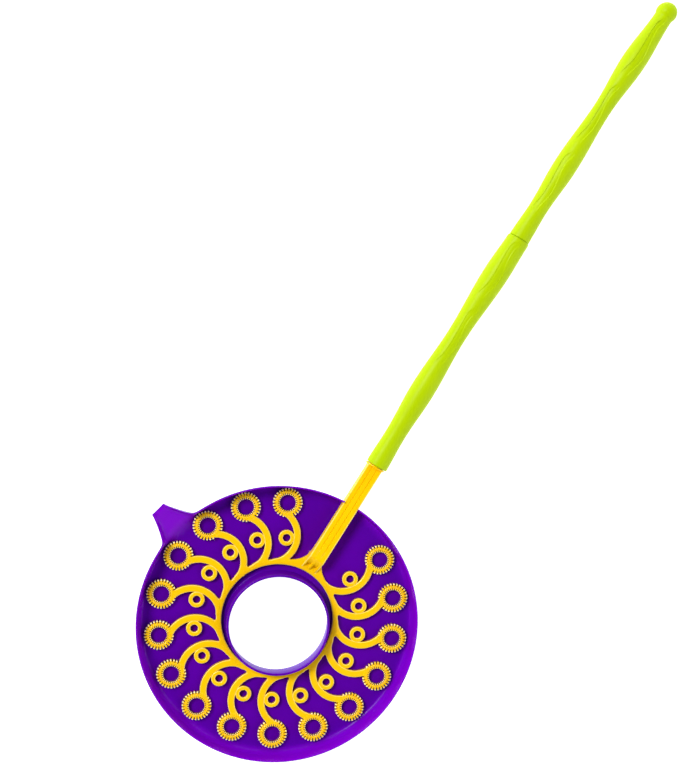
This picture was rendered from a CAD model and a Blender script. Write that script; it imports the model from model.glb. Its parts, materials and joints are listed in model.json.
import json
import math

import bmesh
import bpy
import numpy as np
from mathutils import Matrix, Vector


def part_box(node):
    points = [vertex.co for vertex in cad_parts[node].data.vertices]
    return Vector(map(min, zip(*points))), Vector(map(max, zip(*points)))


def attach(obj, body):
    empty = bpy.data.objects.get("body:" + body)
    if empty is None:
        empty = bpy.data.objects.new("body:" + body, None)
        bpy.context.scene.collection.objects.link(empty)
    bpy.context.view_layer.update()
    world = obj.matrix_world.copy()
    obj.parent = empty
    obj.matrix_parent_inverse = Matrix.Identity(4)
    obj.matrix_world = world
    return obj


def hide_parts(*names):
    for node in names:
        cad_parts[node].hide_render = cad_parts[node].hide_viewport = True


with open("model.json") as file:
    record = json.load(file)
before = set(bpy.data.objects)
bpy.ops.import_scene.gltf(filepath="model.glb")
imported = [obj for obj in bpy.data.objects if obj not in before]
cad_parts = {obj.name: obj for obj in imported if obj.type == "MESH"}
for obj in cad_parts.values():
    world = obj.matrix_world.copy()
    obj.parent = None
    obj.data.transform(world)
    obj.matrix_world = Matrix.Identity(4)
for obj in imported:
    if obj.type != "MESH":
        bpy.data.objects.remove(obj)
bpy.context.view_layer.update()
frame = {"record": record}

# Camera
# It stands high above the table, a little to the spout's side of the handle, and looks almost
# straight down, with the handle running to the upper right of the picture.
camera_spot = Vector((0.17279, 0.18950, 0.90823))
camera_target = Vector((0.14584, 0.04614, 0.0))
picture_up_turn = math.radians(32.44)
picture_height_pixels = 765
focal_pixels = 1500
film_width = 36.0

back = (camera_spot - camera_target).normalized()
table_up = Vector((math.cos(picture_up_turn), math.sin(picture_up_turn), 0.0))
right = table_up.cross(back).normalized()
camera_axes = Matrix((right, back.cross(right), back)).transposed().to_4x4()
camera_data = bpy.data.cameras.new("camera")
camera_data.sensor_width = film_width
camera_data.lens = focal_pixels * film_width / picture_height_pixels
camera = bpy.data.objects.new("camera", camera_data)
camera.matrix_world = Matrix.Translation(camera_spot) @ camera_axes
bpy.context.scene.collection.objects.link(camera)
bpy.context.scene.camera = camera

# Table and studio light
# A wide white table that glows a little from below, as in a product studio, white walls all
# round, a dark ceiling, a large lamp on the spout's side that gives the soft shadows and a
# weaker, wider one across from it.
table_half = 6.0
table_drop = 0.0002
table_white = (0.90, 0.90, 0.90, 1.0)
table_rough = 0.9
table_shine = 0.1
table_glow = 0.85
white_light = (1.0, 1.0, 1.0, 1.0)
wall_light = 1.3
ceiling_light = 0.03
walls_end, ceiling_start = 0.45, 0.66
key_turn, key_height = math.radians(82.0), math.radians(46.0)
key_width = math.radians(20.0)
key_power = 2.6
fill_turn, fill_height = math.radians(-78.0), math.radians(42.0)
fill_width = math.radians(60.0)
fill_power = 0.9

table_corners = ((-1, -1), (1, -1), (1, 1), (-1, 1))
table_mesh = bpy.data.meshes.new("table")
table_mesh.from_pydata(
    [(x * table_half, y * table_half, -table_drop) for x, y in table_corners],
    [],
    [(0, 1, 2, 3)],
)
table = bpy.data.objects.new("table", table_mesh)
bpy.context.scene.collection.objects.link(table)
board = bpy.data.materials.new("white_table")
board.use_nodes = True
board_shader = board.node_tree.nodes["Principled BSDF"]
board_shader.inputs["Base Color"].default_value = table_white
board_shader.inputs["Roughness"].default_value = table_rough
board_shader.inputs["Specular IOR Level"].default_value = table_shine
board_shader.inputs["Emission Color"].default_value = white_light
board_shader.inputs["Emission Strength"].default_value = table_glow
table_mesh.materials.append(board)

room = bpy.data.worlds.new("studio")
room.use_nodes = True
room_nodes, room_links = room.node_tree.nodes, room.node_tree.links
towards = room_nodes.new("ShaderNodeTexCoord")
upward = room_nodes.new("ShaderNodeSeparateXYZ")
room_links.new(towards.outputs["Generated"], upward.inputs["Vector"])
fade = room_nodes.new("ShaderNodeMapRange")
fade.interpolation_type = "SMOOTHSTEP"
fade.inputs["From Min"].default_value = walls_end
fade.inputs["From Max"].default_value = ceiling_start
fade.inputs["To Min"].default_value = wall_light
fade.inputs["To Max"].default_value = ceiling_light
room_links.new(upward.outputs["Z"], fade.inputs["Value"])
room_nodes["Background"].inputs["Color"].default_value = white_light
room_links.new(fade.outputs["Result"], room_nodes["Background"].inputs["Strength"])
bpy.context.scene.world = room
bpy.context.scene.view_settings.view_transform = "Standard"

for name, turn, height, width, power in (
    ("key_lamp", key_turn, key_height, key_width, key_power),
    ("fill_lamp", fill_turn, fill_height, fill_width, fill_power),
):
    level = math.cos(height)
    lamp_from = Vector((math.cos(turn) * level, math.sin(turn) * level, math.sin(height)))
    lamp_data = bpy.data.lights.new(name, "SUN")
    lamp_data.energy = power
    lamp_data.angle = width
    lamp = bpy.data.objects.new(name, lamp_data)
    lamp.rotation_euler = lamp_from.to_track_quat("Z", "Y").to_euler()
    bpy.context.scene.collection.objects.link(lamp)

# Dipping tray
# A shallow round dish of violet plastic, moulded in one shot, with an open hub in the middle, a
# lip to pour from and a notch in the rim where the stem lies. A wide cove joins floor and wall,
# and the thin wall and lip look lighter than the floor.
tray_r = -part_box("dip_tray")[0].x
ring_low, ring_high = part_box("centre_ring")
head_centre = Vector(
    ((ring_low.x + ring_high.x) / 2, (ring_low.y + ring_high.y) / 2, ring_low.z)
)
hub_bore = frame["record"]["mounts"][0]["dims"]
rim_z = 0.0130
rim_t = 0.0009
rim_round = 0.00035
wall_t = 0.0016
wall_lean = 0.0009
outer_lean = 0.0021
floor_z = 0.0020
base_round = 0.0008
base_edge = 0.0004
base_r = tray_r - wall_lean
floor_r = base_r + wall_lean * floor_z / rim_z - wall_t
cove_clear_r = 0.0825
cove_rise = 0.0060
hub_r = hub_bore["r_mm"] / 1000
hub_z = hub_bore["length_mm"] / 1000
hub_wall_t = 0.0015
hub_flare = 0.0004
hub_top_r = hub_r + hub_wall_t
hub_foot_r = hub_top_r + hub_flare
hub_bore_lean = 0.0009
hub_round = 0.0006
spout_turn = math.radians(76.9)
spout_l = 0.0169
spout_reach = tray_r + spout_l
spout_start = floor_r - wall_t
spout_inner_end = -0.6
spout_points = 49
spout_lip_w = 0.0064
spout_mouth_w = 0.0255
spout_mouth_l = 0.004
spout_sweep = 1.2
spout_lip_z = 0.0114
spout_foot_z = 0.0046
spout_slope = (spout_lip_z - spout_foot_z) / (spout_reach - spout_start)
spout_drop = 0.0008
spout_blend = 0.0025
spout_trim = 0.00025
spout_foot_round = 0.0012
spout_under_drop = 0.00032
spout_span = math.radians(14.0)
lip_edge = 0.0008
lip_t = 0.00048
channel_open, channel_closed = math.radians(7.5), math.radians(11.5)
channel_low_r, channel_high_r = floor_r - 0.004, floor_r + 0.003
channel_end_r = floor_r - 0.006
notch_half_w = 0.0053
notch_z = 0.0049
round_steps, rim_steps, cove_steps, channel_steps = 3, 4, 8, 8
side_shares = (0.0, 0.33, 0.67, 1.0)
floor_shares = (0.75, 0.5, 0.25)
turn_step = 2
turn_hair = 1e-4
edge_room = 0.45
cove_room = 0.9
merge_gap, sliver = 2e-6, 1e-6
violet = (0.100, 0.0002, 0.365, 1.0)
violet_deeper = (0.090, 0.0002, 0.335, 1.0)
violet_thin = (0.215, 0.0003, 0.60, 1.0)
violet_outer = (0.055, 0.0001, 0.20, 1.0)
violet_gloss, violet_shine = 0.22, 0.08
thin_from, thin_to = 0.0785, 0.0880
outer_from, outer_to = 0.3 * thin_from, 0.7 * thin_from
# Each noise is its scale, detail and distortion.
flow_noise = (38.0, 4.0, 0.8)
grain_noise = (900.0, 3.0, 0.0)
wave_noise = (120.0, 2.0, 0.0)
tint_from, tint_to = 0.30, 0.62
glossier, duller = 0.75, 1.35
grain_share = 0.06
bump_strength, bump_height = 0.05, 0.0003
plastic_ior = 1.5


def eased(low, high, x):
    """0 below low, 1 above high, with a smooth rise between."""
    t = np.clip((x - low) / (high - low), 0.0, 1.0)
    return t * t * (3.0 - 2.0 * t)


def arc(x, z, wide, high, start, end, steps):
    """Points on an ellipse about x, z from one angle in degrees to another, both included."""
    turns = np.radians(np.linspace(start, end, steps + 1))
    return list(zip(x + wide * np.cos(turns), z + high * np.sin(turns)))


def around(section, turn, x=0.0, y=0.0):
    """Points [radius, height] of a section, stood at one turn about an upright line at x, y."""
    return [(x + r * math.cos(turn), y + r * math.sin(turn), z) for r, z in section]


def spout_edge(extra):
    """One side of the spout's outline, from the lip back into the dish, as angles and radii."""
    share = np.linspace(1.0, spout_inner_end, spout_points)
    run = spout_start + share * (spout_reach - spout_start)
    width = spout_lip_w + (spout_mouth_w - spout_lip_w) * (1.0 - share) ** spout_sweep
    half = width / 2 + extra
    return np.arctan2(half, run), np.hypot(run, half)


def spout_line(r):
    """Height of the spout's channel, which rises evenly from the dish to the lip."""
    return spout_foot_z + (r - spout_start) * spout_slope


def blended(a, b):
    """The larger of two radii, with a smooth change from one to the other."""
    return (a + b + np.sqrt((a - b) ** 2 + spout_blend**2) - spout_trim) / 2


def wall_r(z):
    """Radius from which the inner wall is set back by its thickness."""
    return base_r + wall_lean * z / rim_z


def outer_r(z):
    """Radius of the outer wall, which leans in towards the base, so that trays stack."""
    return tray_r - outer_lean * (1.0 - z / rim_z)


def cove_start(turn):
    """Where the cove leaves the floor, just outside the reach of the wand's loops."""
    off = math.hypot(head_centre.x, head_centre.y)
    away = turn - math.atan2(head_centre.y, head_centre.x)
    return off * math.cos(away) + math.sqrt(cove_clear_r**2 - (off * math.sin(away)) ** 2)


def rim_radii(off):
    """Outer and inner radius of the wall at an angle off the spout's middle."""
    lip_r = spout_reach / math.cos(min(off, out_angles[0]))
    out_r = blended(tray_r, np.interp(off, out_angles, out_radii, left=lip_r))
    out_r = tray_r if off > out_angles[-1] else max(out_r, tray_r)
    in_r = blended(tray_r - wall_t, np.interp(off, in_angles, in_radii, left=lip_r))
    in_r = tray_r - wall_t if off > in_angles[-1] else in_r
    return out_r, min(in_r, out_r - lip_edge)


def tray_column(turn, notched):
    """Closed section of the dish at one turn about its axis, as points [radius, height]."""
    off = abs(math.remainder(turn - spout_turn, 2 * math.pi))
    out_r, in_r = rim_radii(off)
    bulge_out, bulge_in = out_r - tray_r, in_r - (tray_r - wall_t)
    opened = 1.0 - eased(channel_open, channel_closed, off)

    def channel(r):
        rise = (spout_line(r) - floor_z) * eased(channel_low_r, channel_high_r, r)
        return floor_z + opened * rise

    foot_z = channel(in_r)
    if notched:
        top = notch_z
    elif off < in_angles[0]:
        top = foot_z + lip_t
    else:
        top = rim_z - spout_drop * bulge_out / spout_l
    room_up = top - foot_z
    thinner = max(out_r - in_r - rim_t, 0.0)
    edge = min(rim_round, (out_r - in_r - thinner) * edge_room, room_up * edge_room)
    in_spout = eased(0.0, spout_mouth_l, bulge_in)
    cove_h = cove_rise + (spout_foot_round - cove_rise) * in_spout
    cove_h = min(cove_h, (room_up - edge) * cove_room)
    wall_foot = wall_r(foot_z + cove_h) - wall_t + bulge_in
    cove_w = wall_foot - bulge_in - cove_start(turn)
    cove_w += (spout_foot_round - cove_w) * in_spout
    cove_end_r = wall_foot - cove_w
    low_z = spout_line(tray_r) - wall_t - spout_under_drop
    side_z = spout_line(out_r) - wall_t
    low_r, side_r = outer_r(low_z), outer_r(side_z) + bulge_out
    outer, inner = outer_r(top) + bulge_out, wall_r(top) - wall_t + thinner + bulge_in
    hole_r, under_r = hub_r + hub_bore_lean, outer_r(0.0)

    points = [(hole_r, base_edge), (hole_r + base_edge, 0.0), ((hole_r + under_r) / 2, 0.0)]
    points += arc(under_r - base_round, base_round, base_round, base_round, -90, 0, round_steps)
    points += [
        (low_r + (side_r - low_r) * t, low_z + (side_z - low_z) * t) for t in side_shares
    ]
    points += arc(outer - edge, top - edge, edge, edge, 0, 90, rim_steps)
    points += arc(inner + edge, top - edge, edge, edge, 90, 180, rim_steps)
    points += arc(cove_end_r, foot_z + cove_h, cove_w, cove_h, 0, -90, cove_steps)
    ramp = np.linspace(cove_end_r, channel_end_r, channel_steps + 1)[1:]
    points += [(r, channel(r)) for r in ramp]
    points += [(hub_foot_r + (channel_end_r - hub_foot_r) * t, floor_z) for t in floor_shares]
    for x, z, start, end in (
        (hub_foot_r + hub_round, floor_z + hub_round, -90, -180),
        (hub_top_r - hub_round, hub_z - hub_round, 0, 90),
        (hub_r + hub_round, hub_z - hub_round, 90, 180),
    ):
        points += arc(x, z, hub_round, hub_round, start, end, round_steps)
    return points


def tidied(mesh, sharp):
    """Merges equal points, turns the faces outward and smooths all but the sharp edges."""
    work = bmesh.new()
    work.from_mesh(mesh)
    bmesh.ops.remove_doubles(work, verts=work.verts, dist=merge_gap)
    bmesh.ops.dissolve_degenerate(work, edges=work.edges, dist=sliver)
    bmesh.ops.recalc_face_normals(work, faces=work.faces)
    work.to_mesh(mesh)
    work.free()
    mesh.shade_smooth()
    mesh.set_sharp_from_angle(angle=math.radians(sharp))
    return mesh


def skinned(name, rows, closed_rows=True, sharp=40.0):
    """Mesh through closed rows of points, each joined to the next; equal points are merged."""
    rows = np.asarray(rows, float)
    row_n, point_n = rows.shape[:2]
    faces = []
    for i in range(row_n if closed_rows else row_n - 1):
        a, b = i * point_n, (i + 1) % row_n * point_n
        for j in range(point_n):
            k = (j + 1) % point_n
            faces.append((a + j, b + j, b + k, a + k))
    mesh = bpy.data.meshes.new(name)
    mesh.from_pydata(rows.reshape(-1, 3).tolist(), [], faces)
    return tidied(mesh, sharp)


def placed(name, mesh, material, place=Matrix.Identity(4)):
    """Object of a mesh, put in its place; where no material is given the mesh keeps its own."""
    if material is not None:
        mesh.materials.clear()
        mesh.materials.append(material)
    piece = bpy.data.objects.new(name, mesh)
    piece.matrix_world = place
    bpy.context.scene.collection.objects.link(piece)
    return piece


def moulded_plastic(name, colour, deeper, gloss, shine):
    """Glossy moulded plastic: faint flow marks in the colour, uneven gloss, slight waviness."""
    material = bpy.data.materials.new(name)
    material.use_nodes = True
    nodes, links = material.node_tree.nodes, material.node_tree.links
    shader = nodes["Principled BSDF"]
    place = nodes.new("ShaderNodeTexCoord")
    place.name = "place"
    noises = []
    for scale, detail, distortion in (flow_noise, grain_noise, wave_noise):
        noise = nodes.new("ShaderNodeTexNoise")
        noise.inputs["Scale"].default_value = scale
        noise.inputs["Detail"].default_value = detail
        noise.inputs["Distortion"].default_value = distortion
        links.new(place.outputs["Object"], noise.inputs["Vector"])
        noises.append(noise.outputs["Fac"])
    flow, grain, wave = noises
    tint = nodes.new("ShaderNodeValToRGB")
    stops = ((tint_from, deeper), (tint_to, colour))
    for element, (position, shade) in zip(tint.color_ramp.elements, stops):
        element.position = position
        element.color = shade
    links.new(flow, tint.inputs["Fac"])
    links.new(tint.outputs["Color"], shader.inputs["Base Color"])
    rough = nodes.new("ShaderNodeMapRange")
    rough.inputs["To Min"].default_value = gloss * glossier
    rough.inputs["To Max"].default_value = gloss * duller
    links.new(grain, rough.inputs["Value"])
    links.new(rough.outputs["Result"], shader.inputs["Roughness"])
    both = nodes.new("ShaderNodeMath")
    both.operation = "MULTIPLY_ADD"
    both.inputs[1].default_value = grain_share
    links.new(grain, both.inputs[0])
    links.new(wave, both.inputs[2])
    bump = nodes.new("ShaderNodeBump")
    bump.inputs["Strength"].default_value = bump_strength
    bump.inputs["Distance"].default_value = bump_height
    links.new(both.outputs["Value"], bump.inputs["Height"])
    links.new(bump.outputs["Normal"], shader.inputs["Normal"])
    shader.inputs["IOR"].default_value = plastic_ior
    shader.inputs["Specular IOR Level"].default_value = shine
    return material


def share_between(material, value, start, end, kind="LINEAR"):
    """A share that goes from 0 to 1 while a value in a material goes from start to end."""
    nodes, links = material.node_tree.nodes, material.node_tree.links
    share = nodes.new("ShaderNodeMapRange")
    share.interpolation_type = kind
    share.inputs["From Min"].default_value = start
    share.inputs["From Max"].default_value = end
    links.new(value, share.inputs["Value"])
    return share.outputs["Result"]


def coloured_over(material, share, colour):
    """Lays a colour over a material's colour so far, as much as the share says."""
    nodes, links = material.node_tree.nodes, material.node_tree.links
    base = nodes["Principled BSDF"].inputs["Base Color"]
    mixed = nodes.new("ShaderNodeMix")
    mixed.data_type = "RGBA"
    links.new(share, mixed.inputs["Factor"])
    links.new(base.links[0].from_socket, mixed.inputs["A"])
    mixed.inputs["B"].default_value = colour
    links.new(mixed.outputs["Result"], base)


def lighter_outside(material, thin_colour, outer_colour):
    """Lighter plastic where it is thin, far from the axis; the outer wall is deeper."""
    nodes, links = material.node_tree.nodes, material.node_tree.links
    level = nodes.new("ShaderNodeVectorMath")
    level.operation = "MULTIPLY"
    level.inputs[1].default_value = (1.0, 1.0, 0.0)
    links.new(nodes["place"].outputs["Object"], level.inputs[0])
    away = nodes.new("ShaderNodeVectorMath")
    away.operation = "LENGTH"
    links.new(level.outputs["Vector"], away.inputs[0])
    shape = nodes.new("ShaderNodeNewGeometry")
    outward = nodes.new("ShaderNodeVectorMath")
    outward.operation = "DOT_PRODUCT"
    links.new(shape.outputs["Normal"], outward.inputs[0])
    links.new(level.outputs["Vector"], outward.inputs[1])
    thin = share_between(material, away.outputs["Value"], thin_from, thin_to, "SMOOTHSTEP")
    outer = share_between(material, outward.outputs["Value"], outer_from, outer_to)
    coloured_over(material, thin, thin_colour)
    coloured_over(material, outer, outer_colour)


out_angles, out_radii = spout_edge(wall_t)
in_angles, in_radii = spout_edge(0.0)
spout_offs = np.concatenate([out_angles, in_angles])
spout_offs = np.unique(np.round(spout_offs[spout_offs < spout_span], 5))
lip_offs = [0.0, in_angles[0] / 2, in_angles[0] - turn_hair]
spout_offs = np.concatenate([spout_offs, lip_offs])
notch_from = math.asin((head_centre.y - notch_half_w) / tray_r)
notch_to = math.asin((head_centre.y + notch_half_w) / tray_r)
turns = {math.radians(a) for a in range(-180, 180, turn_step)}
turns = {t for t in turns if abs(t - spout_turn) > spout_span and not notch_from < t < notch_to}
turns |= {spout_turn + side * d for d in spout_offs for side in (-1, 1)}
columns = [(t, False) for t in sorted({round(t, 6) for t in turns})]
split = next(i for i, column in enumerate(columns) if column[0] > notch_from)
columns[split:split] = [
    (notch_from, False),
    (notch_from, True),
    ((notch_from + notch_to) / 2, True),
    (notch_to, True),
    (notch_to, False),
]
tray_rows = [around(tray_column(t, notched), t) for t, notched in columns]
violet_plastic = moulded_plastic(
    "violet_plastic", violet, violet_deeper, violet_gloss, violet_shine
)
lighter_outside(violet_plastic, violet_thin, violet_outer)
dish = placed("dish", skinned("dish", tray_rows), violet_plastic)
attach(dish, "tray")
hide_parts("dip_tray")

# Centre ring
# The flat yellow ring of the wand's head, which drops over the hub; ring, arms and stem are one
# moulding of stiff glossy plastic with softened edges.
head_t = ring_high.z - ring_low.z
ring_w = 0.0033
ring_out_r = (ring_high.x - ring_low.x) / 2
ring_in_r = ring_out_r - ring_w
ring_steps = 180
top_round = 0.0008
under_round = 0.0003
yellow = (0.98, 0.575, 0.0006, 1.0)
yellow_deeper = (0.95, 0.53, 0.0004, 1.0)
yellow_edge = (1.0, 0.74, 0.14, 1.0)
yellow_side = (0.52, 0.20, 0.0004, 1.0)
yellow_gloss, yellow_shine = 0.24, 0.35
edge_slopes = (0.30, 0.50, 0.80, 0.93)
side_from, side_to = 0.35, 0.05
no_share, full_share = (0.0, 0.0, 0.0, 1.0), (1.0, 1.0, 1.0, 1.0)


def bar_section(low, high, height, bottom=0.0, rounds=(top_round,) * 4, steps=4):
    """Closed section of a flat bar, across from low to high and from its bottom to its height.

    The rounds are the width and height of its outer top edge, and then of its inner one."""
    out_w, out_h, in_w, in_h = rounds
    points = [(high - under_round, bottom), (high, bottom + under_round)]
    points += arc(high - out_w, height - out_h, out_w, out_h, 0, 90, steps)
    points += arc(low + in_w, height - in_h, in_w, in_h, 90, 180, steps)
    return points + [(low, bottom + under_round), (low + under_round, bottom)]


def turned_ring(name, section, steps, centre=(0.0, 0.0)):
    """Ring of a closed section of [radius, height] points, turned about an upright line."""
    turns = np.linspace(0.0, 2 * math.pi, steps, endpoint=False)
    return skinned(name, [around(section, t, *centre) for t in turns])


def paler_edges(material, slopes, edge_colour, side_colour):
    """Paler plastic on the softened edges, which let light through, and deeper upright sides.

    The slopes are the sizes of the normal's upright part at which the paler colour starts, is
    full, starts to fade and has gone."""
    nodes, links = material.node_tree.nodes, material.node_tree.links
    shape = nodes.new("ShaderNodeNewGeometry")
    parts = nodes.new("ShaderNodeSeparateXYZ")
    links.new(shape.outputs["Normal"], parts.inputs["Vector"])
    size = nodes.new("ShaderNodeMath")
    size.operation = "ABSOLUTE"
    links.new(parts.outputs["Z"], size.inputs[0])
    slope = nodes.new("ShaderNodeValToRGB")
    for element, position in zip(slope.color_ramp.elements, (slopes[0], slopes[3])):
        element.position = position
        element.color = no_share
    for position in slopes[1:3]:
        slope.color_ramp.elements.new(position).color = full_share
    links.new(size.outputs["Value"], slope.inputs["Fac"])
    upright = share_between(material, parts.outputs["Z"], side_from, side_to)
    coloured_over(material, slope.outputs["Color"], edge_colour)
    coloured_over(material, upright, side_colour)


yellow_plastic = moulded_plastic(
    "yellow_plastic", yellow, yellow_deeper, yellow_gloss, yellow_shine
)
paler_edges(yellow_plastic, edge_slopes, yellow_edge, yellow_side)
ring_mesh = turned_ring("ring", bar_section(ring_in_r, ring_out_r, head_t), ring_steps)
ring = placed("ring", ring_mesh, yellow_plastic, Matrix.Translation(head_centre))
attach(ring, "wand_head")
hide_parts("centre_ring")

# Bubble arms
# Sixteen curled arms moulded onto the ring, flat on top with rounded edges. Each carries a small
# plain loop in its bend and a larger toothed loop at its end; the teeth hold the solution, and
# their thin tips look paler.
arm_n = 16
arm_pitch = math.radians(20.3)
arm_turn = math.radians(-0.7)
arm_half_w = 0.0021
loop_at = Vector((0.073136, 0.0))
arm_run = loop_at.x - ring_out_r
curve_at = Vector((ring_out_r + 0.4 * arm_run, 0.268 * arm_run))
curve_r = 0.49 * arm_run
curve_inner_y = curve_at.y - curve_r + arm_half_w
root_fillet = 0.0016
root_fade = 0.12
root_depth = 0.0012
root_start = 0.002
root_share = 0.3
strip_rows = 40
bend_from = 0.6
sink_from, sink_to = 0.8, 0.9
scan_reach, scan_step = 0.006, 0.00002
hair = 0.00002
eye_out_r, eye_in_r = 0.00495, 0.00235
eye_overlap = 0.00045
eye_at = Vector((ring_out_r + 0.382 * arm_run, curve_inner_y + eye_out_r - eye_overlap))
eye_sides = 64
tooth_n = 28
tooth_pitch = 2 * math.pi / tooth_n
tooth_out_r, gap_out_r = 0.0092, 0.0076
gap_in_r, tooth_in_r = 0.0059, 0.0049
# The rounds are the width and height of the outer top edge, and then of the inner one.
gap_rounds = np.array((0.00095, 0.0015, 0.00065, 0.0012))
tooth_rounds = np.array((0.00075, 0.0005, 0.00045, 0.0004))
# Half a tooth: how far off its middle, as a share of the pitch, and how far out it stands there.
tooth_shape = ((0.34, 0.0), (0.28, 0.85), (0.22, 1.0), (0.0, 1.0))
tooth_steps = 5
tip_l = 0.0009
tip_half = 0.25
arm_sharp = 50.0
tooth_tip = (1.0, 0.87, 0.42, 1.0)
tooth_tip_deeper = (1.0, 0.83, 0.35, 1.0)
edge_points = 6
edge_insets = top_round * (1.0 - np.cos(np.linspace(0.0, math.pi / 2, edge_points)))


def edge_fall(inside, size=top_round):
    """How far a rounded top edge falls, at a distance inside the outline."""
    rest = size - np.clip(inside, 0.0, size)
    return size - np.sqrt(size**2 - rest**2)


def merged(a, b, fillet):
    """The larger of two distances inside; where they are alike it is more, as in a fillet."""
    near = np.clip(1.0 - np.abs(a - b) / max(fillet, 1e-9), 0.0, None)
    return np.maximum(a, b) + near**2 * fillet / 4


def capped(mesh):
    """Closes the open ends of a mesh."""
    work = bmesh.new()
    work.from_mesh(mesh)
    bmesh.ops.holes_fill(work, edges=[e for e in work.edges if e.is_boundary])
    bmesh.ops.recalc_face_normals(work, faces=work.faces)
    work.to_mesh(mesh)
    work.free()
    return mesh


def fused(name, meshes, sharp=40.0):
    """One closed mesh from several that overlap."""
    parts = [bpy.data.objects.new(f"{name}_{k}", mesh) for k, mesh in enumerate(meshes)]
    for part in parts:
        bpy.context.scene.collection.objects.link(part)
    for part in parts[1:]:
        joint = parts[0].modifiers.new("union", "BOOLEAN")
        joint.operation = "UNION"
        joint.solver = "EXACT"
        joint.object = part
    shown = bpy.context.evaluated_depsgraph_get()
    mesh = bpy.data.meshes.new_from_object(parts[0].evaluated_get(shown))
    for part in parts:
        bpy.data.objects.remove(part)
    mesh.name = name
    return tidied(mesh, sharp)


def arm_strip():
    """The curved arm itself, from inside the ring to inside the toothed loop."""
    nearest = math.pi + math.atan2(curve_at.y, curve_at.x)
    buried_to = ring_out_r - root_depth - (math.hypot(*curve_at) - curve_r)
    to_loop = loop_at - curve_at
    loop_turn = 2 * math.pi + math.atan2(to_loop.y, to_loop.x)
    end_r = (gap_in_r + gap_out_r) / 2
    scan = np.arange(0.0, scan_reach, scan_step)

    def end_turn(d):
        r, far = curve_r + d, to_loop.length
        lean = (r**2 + far**2 - end_r**2) / (2 * r * far)
        return loop_turn - np.arccos(np.clip(lean, -1.0, 1.0))

    def plan(turn, d):
        r = curve_r + d
        return curve_at.x + r * np.cos(turn), curve_at.y + r * np.sin(turn)

    def inside(turn, d):
        in_ring = ring_out_r - np.hypot(*plan(turn, d))
        fillet = root_fillet * eased(nearest, nearest + root_fade, turn)
        in_arm = arm_half_w - np.abs(d)
        return merged(in_ring, in_arm, fillet) + hair, in_ring

    def limit(turn, side):
        depth, in_ring = inside(turn, side * scan)
        return side * scan[np.argmax((depth <= 0.0) | (in_ring > root_depth))]

    first, last = nearest + root_start, end_turn(0.0)
    near_ring = np.linspace(0.0, root_share, strip_rows)
    beyond = np.linspace(root_share, 1.0, strip_rows)[1:]
    rows = []
    for t in np.concatenate([near_ring, beyond]):
        turn = first + (last - first) * t
        if inside(turn, np.zeros(1))[1][0] > root_depth:
            low = buried_to - scan[np.argmax(inside(turn, buried_to - scan)[0] <= 0.0)]
            d = np.arange(low, 0.0, scan_step)
            high = d[np.argmax(inside(turn, d)[1] > root_depth)]
        else:
            low, high = limit(turn, -1), limit(turn, 1)
        insets = edge_insets * min(1.0, (high - low) / 2 / top_round)
        across = np.concatenate([low + insets, high - insets[::-1]])
        bend = end_turn(np.clip(across, -arm_half_w, arm_half_w)) - last
        bend *= eased(bend_from, 1.0, t)
        falls = edge_fall(inside(turn, across)[0])
        height = head_t + hair - 3 * hair * eased(sink_from, sink_to, t)
        top = [(*plan(turn + b, d), height - f) for b, d, f in zip(bend, across, falls)]
        under = [(x, y, under_round) for x, y, z in (top[-1], top[0])]
        sole = [
            (*plan(turn + bend[k], across[k] + inward * under_round), 0.0)
            for k, inward in ((-1, -1.0), (0, 1.0))
        ]
        rows.append(top + [under[0], *sole, under[1]])
    return capped(skinned("strip", rows, closed_rows=False))


def toothed_loop():
    """Loop with narrow teeth outside and inside; the gaps between them run up onto its top."""
    flanks = [(-phase, share) for phase, share in tooth_shape]
    flanks += tooth_shape[-2::-1]
    rows = []
    for k in range(tooth_n):
        for phase, share in [(-0.5, 0.0)] + flanks:
            low = gap_in_r + (tooth_in_r - gap_in_r) * share
            high = gap_out_r + (tooth_out_r - gap_out_r) * share
            rounds = gap_rounds + (tooth_rounds - gap_rounds) * share
            section = bar_section(low, high, head_t, 0.0, rounds, tooth_steps)
            rows.append(around(section, (k + phase) * tooth_pitch, *loop_at))
    mesh = skinned("toothed", rows)
    mesh.materials.append(yellow_plastic)
    mesh.materials.append(tip_plastic)
    for face in mesh.polygons:
        spot, from_curve = face.center.xy - loop_at, face.center.xy - curve_at
        phase = math.remainder(math.atan2(spot.y, spot.x), tooth_pitch) / tooth_pitch
        between_tips = tooth_in_r + tip_l < spot.length < tooth_out_r - tip_l
        in_arm = abs(from_curve.length - curve_r) < arm_half_w and spot.x < -gap_in_r / 2
        at_tip = abs(phase) < tip_half and not between_tips and not in_arm
        face.material_index = int(at_tip and face.center.z > head_t / 2)
    return mesh


tip_plastic = moulded_plastic(
    "tip_plastic", tooth_tip, tooth_tip_deeper, yellow_gloss, yellow_shine
)
eye_section = bar_section(eye_in_r, eye_out_r, head_t + 2 * hair, hair)
eye_mesh = turned_ring("eye", eye_section, eye_sides, eye_at)
arm_mesh = fused("arm", [toothed_loop(), arm_strip(), eye_mesh], arm_sharp)
for i in range(1, arm_n + 1):
    turn = math.pi + arm_turn + arm_pitch * (i - (arm_n + 1) / 2)
    place = Matrix.Translation(head_centre) @ Matrix.Rotation(turn, 4, "Z")
    arm = placed(f"bubble_arm_{i:02d}", arm_mesh, None, place)
    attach(arm, "wand_head")
    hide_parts(f"arm_{i:02d}")

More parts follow.
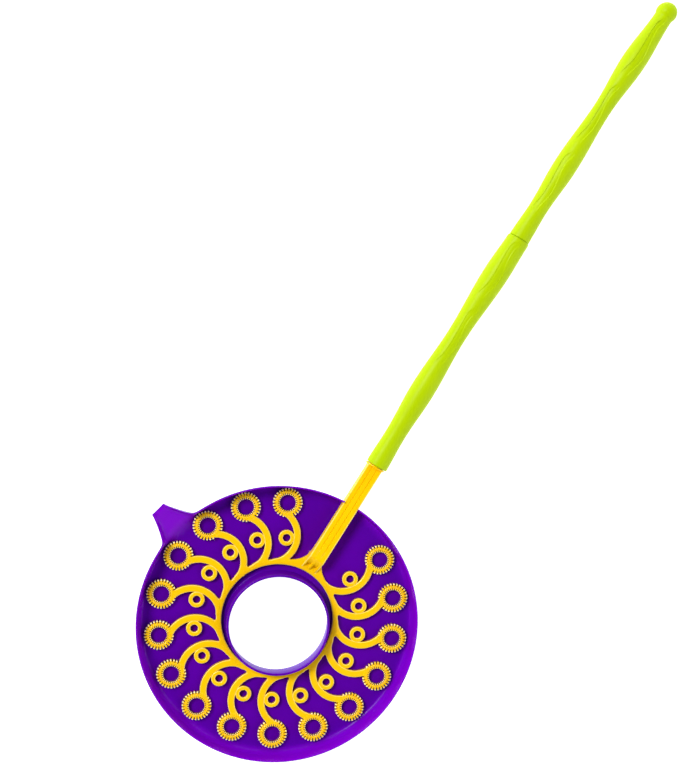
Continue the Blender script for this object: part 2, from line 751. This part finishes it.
# Stem
# The yellow bar that carries the head. Three ribs, with hollows between them, climb from the
# ring to its level top, a web spreads from its foot along the ring, and it ends in a collar and
# a plug, which the lower grip is pushed onto.
stem_end_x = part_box("stem")[1].x
handle_z = 0.0082
stem_w = 0.0102
stem_h = 0.0054
stem_round = 0.0005
stem_round_steps = 4
stem_sink = 0.0002
crest_rows, hollow_rows, ramp_rows, level_rows = 36, 6, 5, 12
crest_l, ramp_l = 0.0085, 0.0165
foot_back = 0.0012
rib_half, rib_side, rib_flank = 0.0007, 0.0037, 0.0002
hollow_start, hollow_end = 0.0029, 0.0102
line_at, line_half, line_d = 0.0017, 0.0004, 0.0004
under_groove_d = 0.0010
collar_t = 0.0015
collar_gap = 0.0004
collar_r = 0.0063
plug_r = 0.0042
plug_l = 0.0220
plug_edge = 0.0004
plug_tip = 0.001
plug_sides = 64
web_r = 0.0159
web_at = Vector((0.05015, 0.01975))
web_end_r = 0.0470
web_turn = math.radians(21.0)
web_rows = 127
web_fade = 0.75
stem_edge = (1.0, 0.75, 0.15, 1.0)
stem_shine = 0.15
strip_stops = (0.0043, 0.0047, 0.0050, 0.00508)
stem_tip_x = stem_end_x - plug_l - collar_t
collar_end = stem_tip_x + collar_t - collar_gap
rise_x = head_centre.x + ring_out_r - foot_back
crest_z, rise_z = handle_z + stem_h / 2, floor_z + head_t + 3 * hair


def faded(low, high, rise, fall, x):
    """1 between low and high and 0 outside, with a smooth rise and fall just inside them."""
    return eased(low, low + rise, x) * (1 - eased(high - fall, high, x))


def rib_top(x):
    """Height of the ribs along the stem: up from the ring, then level."""
    return rise_z + (crest_z - rise_z) * np.clip((x - rise_x) / crest_l, 0.0, 1.0)


def hollow_top(x):
    """Height between the ribs: level with the ring, then steeply up until it meets them."""
    left = 1.0 - np.clip((x - rise_x - hollow_start) / (hollow_end - hollow_start), 0.0, 1.0)
    return min(rib_top(x), crest_z - (crest_z - rise_z) * left**2)


def stem_row(x):
    """Closed section of the stem at one place along it."""
    half = stem_w / 2
    marks = [0.0, rib_half - rib_flank, rib_half, rib_half + rib_flank]
    marks += [line_at + line_half * share for share in (-1.0, -1 / 3, 1 / 3, 1.0)]
    marks += [rib_side - rib_flank, rib_side, rib_side + rib_flank]
    rounds = arc(half - stem_round, 0.0, stem_round, stem_round, -90, 0, stem_round_steps)
    marks += [y for y, z in rounds]
    across = np.array([-m for m in marks[:0:-1]] + marks)
    off = np.abs(across)
    flank = 1.5 * rib_flank
    between = faded(rib_half - rib_flank / 2, rib_side + rib_flank / 2, flank, flank, off)
    line = 1 - eased(line_half / 3, line_half, np.abs(off - line_at))
    edge = edge_fall(half - off, stem_round)
    level = np.clip((x - rise_x - crest_l) / crest_l, 0.0, 1.0)
    raised = np.clip((x - rise_x) / ramp_l, 0.0, 1.0)
    top = rib_top(x) - (rib_top(x) - hollow_top(x)) * between - line_d * level * line - edge
    lowest = floor_z + (handle_z - stem_h / 2 - floor_z) * raised
    bottom = lowest + under_groove_d * raised * line + edge * raised
    up = [(x, y, z) for y, z in zip(across, top)]
    down = [(x, y, z) for y, z in zip(across[::-1], bottom[::-1])]
    return up + down


def foot_web():
    """The flat web that spreads from the stem's foot along the ring."""
    scan = np.arange(ring_out_r - root_depth, web_end_r, scan_step)
    start = scan[0]
    rows = []
    for turn in np.linspace(-web_turn, web_turn, web_rows):
        fillet = root_fillet * (1 - eased(web_fade, 1.0, abs(turn) / web_turn))

        def inside(r):
            x, y = r * math.cos(turn), abs(r * math.sin(turn))
            in_web = np.hypot(x - web_at.x, y - web_at.y) - web_r
            in_web = np.maximum(in_web, stem_w / 2 - y)
            return merged(ring_out_r - r, in_web, fillet) + hair

        out_of = inside(scan) <= 0.0
        end = scan[np.argmax(out_of)] if out_of.any() else scan[-1]
        insets = edge_insets * min(1.0, (end - start) / 2 / top_round)
        run = np.concatenate([end - insets, [start]])
        section = [(start, floor_z), (end - under_round, floor_z), (end, floor_z + under_round)]
        level = floor_z + head_t + 2 * hair
        section += [(r, level - fall) for r, fall in zip(run, edge_fall(inside(run)))]
        rows.append(around(section, turn, head_centre.x))
    return capped(skinned("web", rows, closed_rows=False))


def turned_along(name, line, steps, swell=None, bow=None, sharp=40.0):
    """Body turned about the handle's axis from points [x, radius].

    The swell adds to the radius, and the bow bends the body sideways."""
    turn = np.linspace(0.0, 2 * math.pi, steps, endpoint=False)
    rows = []
    for x, r in line:
        radius = r if swell is None else r + swell(x, r, turn)
        aside = 0.0 if bow is None else bow(x, r)
        y, z = -aside - radius * np.sin(turn), handle_z + radius * np.cos(turn)
        rows.append(np.stack([np.full(steps, x), y, z], 1))
    return skinned(name, rows, closed_rows=False, sharp=sharp)


def paler_strips(material, stops, strip_colour):
    """Paler plastic in a strip along each side of a bar; the stops are distances off its middle."""
    nodes, links = material.node_tree.nodes, material.node_tree.links
    parts = nodes.new("ShaderNodeSeparateXYZ")
    links.new(nodes["place"].outputs["Object"], parts.inputs["Vector"])
    off = nodes.new("ShaderNodeMath")
    off.operation = "ABSOLUTE"
    links.new(parts.outputs["Y"], off.inputs[0])
    strip = nodes.new("ShaderNodeMath")
    strip.operation = "SUBTRACT"
    for k, (start, end) in enumerate((stops[:2], stops[2:])):
        reached = share_between(material, off.outputs["Value"], start, end)
        links.new(reached, strip.inputs[k])
    coloured_over(material, strip.outputs["Value"], strip_colour)


stem_places = np.concatenate(
    [
        [rise_x - stem_sink],
        rise_x + np.linspace(0.0, crest_l, crest_rows),
        rise_x + np.linspace(crest_l, hollow_end, hollow_rows)[1:],
        rise_x + np.linspace(hollow_end, ramp_l, ramp_rows)[1:],
        np.linspace(rise_x + ramp_l, stem_tip_x + collar_t / 2, level_rows)[1:],
    ]
)
bar_mesh = capped(skinned("bar", [stem_row(x) for x in stem_places], closed_rows=False))
collar_edge_r = collar_r - plug_edge
plug_line = [(stem_tip_x, 0.0)]
for x, start, end in ((stem_tip_x + plug_edge, 180, 90), (collar_end - plug_edge, 90, 0)):
    plug_line += arc(x, collar_edge_r, plug_edge, plug_edge, start, end, round_steps)
plug_line += [(collar_end, plug_r), (stem_end_x - plug_tip, plug_r)]
plug_line += [(stem_end_x, plug_r - plug_tip), (stem_end_x, 0.0)]
plug_mesh = turned_along("plug", plug_line, plug_sides)
wand_side = Matrix.Translation((0.0, head_centre.y, 0.0))
stem_plastic = moulded_plastic("stem_plastic", yellow, yellow_deeper, yellow_gloss, stem_shine)
paler_strips(stem_plastic, strip_stops, stem_edge)
stem_mesh = fused("stem", [bar_mesh, foot_web(), plug_mesh])
bar = placed("stem_bar", stem_mesh, stem_plastic, wand_side)
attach(bar, "wand_head")
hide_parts("stem")

# Lower grip
# A hollow lime green moulding with two soft swells for the hand and a faint winding band sunk
# into it. It is pushed over the stem's plug, and its far end is the socket for the upper grip.
lower_low, lower_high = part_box("lower_handle")
lower_start, joint_x = lower_low.x, lower_high.x
lower_l = joint_x - lower_start
lower_at = (0.0, 0.138, 0.329, 0.576, 0.849, 1.0)
lower_radii = (0.0069, 0.0063, 0.00755, 0.0060, 0.0079, 0.0072)
fit_gap, end_gap = 0.00005, 0.0004
socket_r, socket_l = plug_r + fit_gap, plug_l + end_gap
spigot_r, spigot_l, spigot_wall = 0.0048, 0.0200, 0.0014
hole_r, hole_x = spigot_r + fit_gap, joint_x - spigot_l - end_gap
skin_r = spigot_r + 0.0003
bow_offset, bow_curve, bow_middle = -0.00065, 0.137, 0.208
grip_step = 0.0006
grip_sides = 200
edge_round = 0.0005
edge_steps = 4
seen_turn = math.radians(11.8)
band_n, band_step, band_turn = 3, 16.0, 120.0
band_l, band_rise, band_fall = 44.0, 4.0, 7.0
# A band's sides turn as they go: degrees at its start, then bends as from, to and change.
band_near = (6.0, ((0, 6, -19), (8, 25, 8), (30, 44, -20)))
band_far = (24.0, ((2, 8, -12), (11, 28, 19), (29, 42, -18)))
band_edge = 0.0002
end_rise, end_fall = 0.004, 0.002
lower_bands = ((0.2775, -2.0, 0.00028), (0.2290, 0.0, 0.00025))
lower_margin = 0.002
lime = (0.425, 0.59, 0.0002, 1.0)
lime_deeper = (0.40, 0.565, 0.0002, 1.0)
lime_gloss, lime_shine = 0.36, 0.08


def grip_radius(at, radii, share):
    """Radius at a share of a grip's length, eased from one waist or swell to the next."""
    k = min(max(int(np.searchsorted(at, share)) - 1, 0), len(at) - 2)
    t = (share - at[k]) / (at[k + 1] - at[k])
    return radii[k] + (radii[k + 1] - radii[k]) * (1 - math.cos(math.pi * min(t, 1.0))) / 2


def band_side(side, u):
    """Turn in degrees of one side of a band, u millimetres along it: a start and its bends."""
    start, bends = side
    return start + sum(bend * eased(low, high, u) for low, high, bend in bends)


def sunk_bands(bands, low, high):
    """Relief of a grip: bands in low sunk relief that sweep along it, three times round.

    Each band is given by where it starts, how far it is turned and how deep it is."""

    def swell(x, r, turn):
        height = np.zeros_like(turn)
        if r < skin_r or x < low or x > high:
            return height
        ends = faded(low, high, end_rise, end_fall, x)
        for start, turned, depth in bands:
            for copy in range(band_n):
                u = (start - x) * 1000 - band_step * copy
                if not 0.0 < u < band_l:
                    continue
                near, far = band_side(band_near, u), band_side(band_far, u)
                middle = math.radians((near + far) / 2 + turned + band_turn * copy) - seen_turn
                half = math.radians((far - near) / 2) * r
                across = (np.remainder(turn - middle + math.pi, 2 * math.pi) - math.pi) * r
                sunk = depth * ends * faded(0.0, band_l, band_rise, band_fall, u)
                height -= sunk * eased(-band_edge, band_edge, half - np.abs(across))
        return height

    return swell


def rounded_end(x, r, start, end):
    """Points [x, radius] round the outer edge of a grip's end, from one angle to another."""
    return arc(x, r - edge_round, edge_round, edge_round, start, end, edge_steps)


def lower_bow(x, r):
    """The grip's slight sideways bend; its sockets stay straight."""
    return 0.0 if r < skin_r else bow_offset + bow_curve * (x - bow_middle) ** 2


lime_plastic = moulded_plastic("lime_plastic", lime, lime_deeper, lime_gloss, lime_shine)
lower_line = [(lower_start + socket_l, 0.0), (lower_start + socket_l, socket_r)]
lower_line += [(lower_start, socket_r)]
lower_line += rounded_end(lower_start + edge_round, lower_radii[0], 180, 90)
for x in np.arange(lower_start + 2 * edge_round, joint_x - 2 * edge_round, grip_step):
    lower_line.append((x, grip_radius(lower_at, lower_radii, (x - lower_start) / lower_l)))
lower_line += rounded_end(joint_x - edge_round, lower_radii[-1], 90, 0)
lower_line += [(joint_x, hole_r), (hole_x, hole_r), (hole_x, 0.0)]
lower_relief = sunk_bands(lower_bands, lower_start + lower_margin, joint_x - lower_margin)
lower_mesh = turned_along("lower_grip", lower_line, grip_sides, lower_relief, lower_bow)
lower_grip = placed("lower_grip", lower_mesh, lime_plastic, wand_side)
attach(lower_grip, "lower_handle")
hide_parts("lower_handle")

# Upper grip
# The hollow lime green moulding at the hand's end, with two swells, the same sunk band, clearer
# here, and a ball at its tip. Its spigot is pushed into the lower grip.
upper_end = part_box("upper_handle")[1].x
upper_at = (0.0, 0.129, 0.309, 0.553, 0.754, 0.9426)
upper_radii = (0.00665, 0.0059, 0.0073, 0.0056, 0.00754, 0.0057)
spigot_start = joint_x - spigot_l
spigot_in_r = spigot_r - spigot_wall
spigot_edge = 0.0004
shoulder_x, shoulder_r = joint_x + 0.0002, upper_radii[0] - 0.0004
upper_start = joint_x + 0.0006
ball_r = 0.00655
ball_x = upper_end - ball_r
ball_steps = 27
neck_turn = math.acos(upper_radii[-1] / ball_r)
neck_x = ball_x - ball_r * math.sin(neck_turn)
tip_bow, tip_bow_l, tip_bow_power = 0.0024, 0.162, 2.2
upper_bands = ((0.4370, 0.0, 0.00056), (0.3885, -12.0, 0.00048), (0.3400, -16.0, 0.00042))
upper_margin, neck_margin = 0.002, 0.0005
upper_sharp = 30.0


def upper_bow(x, r):
    """The grip's slight sideways bend towards its tip; the spigot stays straight."""
    return tip_bow * (max(x - joint_x, 0.0) / tip_bow_l) ** tip_bow_power


upper_line = [(joint_x, 0.0), (joint_x, spigot_in_r), (spigot_start, spigot_in_r)]
upper_line += [(spigot_start, spigot_r - spigot_edge), (spigot_start + spigot_edge, spigot_r)]
upper_line += [(shoulder_x, spigot_r), (shoulder_x, shoulder_r)]
for x in np.append(np.arange(upper_start, neck_x - grip_step / 2, grip_step), neck_x):
    share = (x - joint_x) / (neck_x - joint_x) * upper_at[-1]
    upper_line.append((x, grip_radius(upper_at, upper_radii, share)))
neck_angle = 90 + math.degrees(neck_turn)
upper_line += arc(ball_x, 0.0, ball_r, ball_r, neck_angle, 0, ball_steps)[1:]
upper_relief = sunk_bands(upper_bands, joint_x + upper_margin, neck_x - neck_margin)
upper_mesh = turned_along(
    "upper_grip", upper_line, grip_sides, upper_relief, upper_bow, upper_sharp
)
upper_grip = placed("upper_grip", upper_mesh, lime_plastic, wand_side)
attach(upper_grip, "upper_handle")
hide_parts("upper_handle")
